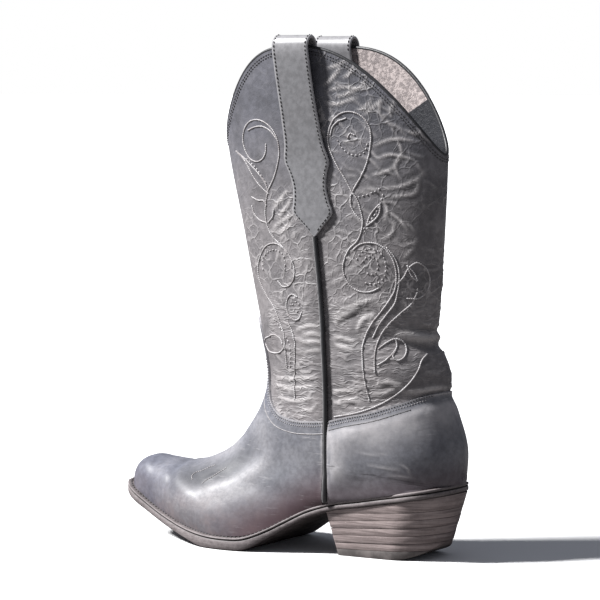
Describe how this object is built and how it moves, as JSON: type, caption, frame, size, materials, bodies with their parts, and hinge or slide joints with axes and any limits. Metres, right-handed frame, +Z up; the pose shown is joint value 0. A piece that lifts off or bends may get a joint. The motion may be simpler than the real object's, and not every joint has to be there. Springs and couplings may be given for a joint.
{
  "type": "western boot",
  "caption": "Western boot for a left foot: hollow scalloped shaft with pull straps, vamp and counter overlays, welted sole and stacked underslung heel.",
  "frame": {"origin": "middle of the flat rest face under the heel, on the floor", "axes": "+Z up, -X towards the toe, -Y towards the outer side of the foot"},
  "size_m": [0.2696, 0.0956, 0.352],
  "materials": {
    "shaft_leather": "worn charcoal grey, wrinkled, with pale scroll stitching",
    "vamp_leather": "smooth polished charcoal grey, scuffed",
    "strap_leather": "smooth charcoal grey with edge stitching",
    "trim_leather": "dark cord",
    "footbed_leather": "plain, matt",
    "sole_leather": "worn edge, matt",
    "heel_stack": "stacked layers, worn, matt",
    "heel_rubber": "matt"
  },
  "bodies": {
    "root": {"upper": "shaft_leather", "vamp": "vamp_leather", "counter": "vamp_leather", "side_piping_outer": "trim_leather", "side_piping_inner": "trim_leather", "collar_binding": "trim_leather", "pull_strap_outer": "strap_leather", "pull_strap_inner": "strap_leather", "insole": "footbed_leather", "welt": "sole_leather", "outsole": "sole_leather", "heel_wedge": "heel_stack", "heel_lift_1": "heel_stack", "heel_lift_2": "heel_stack", "heel_lift_3": "heel_stack", "heel_lift_4": "heel_stack", "heel_lift_5": "heel_stack", "heel_cap": "heel_rubber"}
  },
  "joints": []
}
